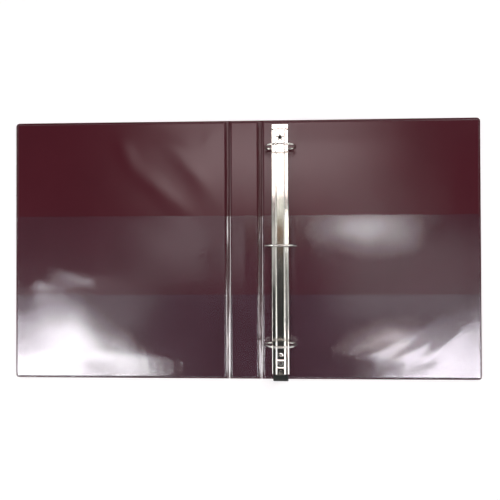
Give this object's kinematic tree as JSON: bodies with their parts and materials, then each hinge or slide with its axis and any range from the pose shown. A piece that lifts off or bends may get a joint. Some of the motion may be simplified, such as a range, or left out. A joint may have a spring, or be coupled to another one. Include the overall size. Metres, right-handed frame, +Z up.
{
  "type": "ring binder",
  "caption": "Vinyl ring binder, open flat: two stiff covers and a spine joined by folding hinges, clear inside pockets and a snap ring metal with a trigger.",
  "frame": {"origin": "underside of the spine, at its middle, on the surface that the open binder rests on", "axes": "+X across towards the back cover, +Y along the spine to the binder's top edge, +Z up out of the inside face"},
  "size_m": [0.5264, 0.292, 0.0345],
  "materials": {
    "outer_vinyl": "satin",
    "inner_vinyl": "satin",
    "board": "matte",
    "clear_vinyl": "gloss",
    "nickel": "polished",
    "ring_wire": "polished",
    "rivet_steel": "satin",
    "black_plastic": "satin"
  },
  "bodies": {
    "back_cover": {"back_outer_vinyl": "outer_vinyl", "back_board": "board", "back_liner": "inner_vinyl", "back_tall_pocket": "clear_vinyl", "back_short_pocket": "clear_vinyl", "ring_housing": "nickel", "top_rivet": "rivet_steel", "bottom_rivet": "rivet_steel", "trigger_pin": "rivet_steel"},
    "back_web": {"back_web": "inner_vinyl", "back_cover_fold": "inner_vinyl", "back_spine_fold": "inner_vinyl"},
    "spine": {"spine_outer_vinyl": "outer_vinyl", "spine_board": "board", "spine_liner": "inner_vinyl", "spine_tall_pocket": "clear_vinyl", "spine_short_pocket": "clear_vinyl"},
    "front_web": {"front_web": "inner_vinyl", "front_cover_fold": "inner_vinyl", "front_spine_fold": "inner_vinyl"},
    "front_cover": {"front_outer_vinyl": "outer_vinyl", "front_board": "board", "front_liner": "inner_vinyl", "front_tall_pocket": "clear_vinyl", "front_short_pocket": "clear_vinyl"},
    "right_rings": {"right_blade": "nickel", "right_top_ring": "ring_wire", "right_middle_ring": "ring_wire", "right_bottom_ring": "ring_wire"},
    "left_rings": {"left_blade": "nickel", "left_top_ring": "ring_wire", "left_middle_ring": "ring_wire", "left_bottom_ring": "ring_wire"},
    "trigger": {"trigger_lever": "nickel", "trigger_pad": "black_plastic"}
  },
  "joints": [
    {"name": "back_cover_fold", "type": "hinge", "parent": "back_cover", "child": "back_web", "pos_m": [0.02045, 0, 0.00023], "axis": [0, -1, 0], "range_deg": [-45, 45], "deforming": ["back_cover_fold"]},
    {"name": "back_spine_fold", "type": "hinge", "parent": "back_web", "child": "spine", "pos_m": [0.01605, 0, 0.00023], "axis": [0, -1, 0], "range_deg": [-45, 45], "deforming": ["back_spine_fold"]},
    {"name": "front_spine_fold", "type": "hinge", "parent": "spine", "child": "front_web", "pos_m": [-0.01605, 0, 0.00023], "axis": [0, -1, 0], "range_deg": [-45, 45], "deforming": ["front_spine_fold"]},
    {"name": "front_cover_fold", "type": "hinge", "parent": "front_web", "child": "front_cover", "pos_m": [-0.02045, 0, 0.00023], "axis": [0, -1, 0], "range_deg": [-45, 45], "deforming": ["front_cover_fold"]},
    {"name": "rings_open", "type": "hinge", "parent": "back_cover", "child": "right_rings", "pos_m": [0.04835, 0, 0.0061], "axis": [0, 1, 0], "range_deg": [0, 20]},
    {"name": "left_rings_open", "type": "hinge", "parent": "back_cover", "child": "left_rings", "pos_m": [0.03195, 0, 0.0061], "axis": [0, 1, 0], "range_deg": [-20, 0]},
    {"name": "trigger_press", "type": "hinge", "parent": "back_cover", "child": "trigger", "pos_m": [0.04015, -0.1353, 0.0065], "axis": [1, 0, 0], "range_deg": [0, 27]}
  ],
  "couplings": [
    {"joint": "left_rings_open", "follows": "rings_open", "ratio": -1},
    {"joint": "trigger_press", "follows": "rings_open", "ratio": 1.35}
  ]
}
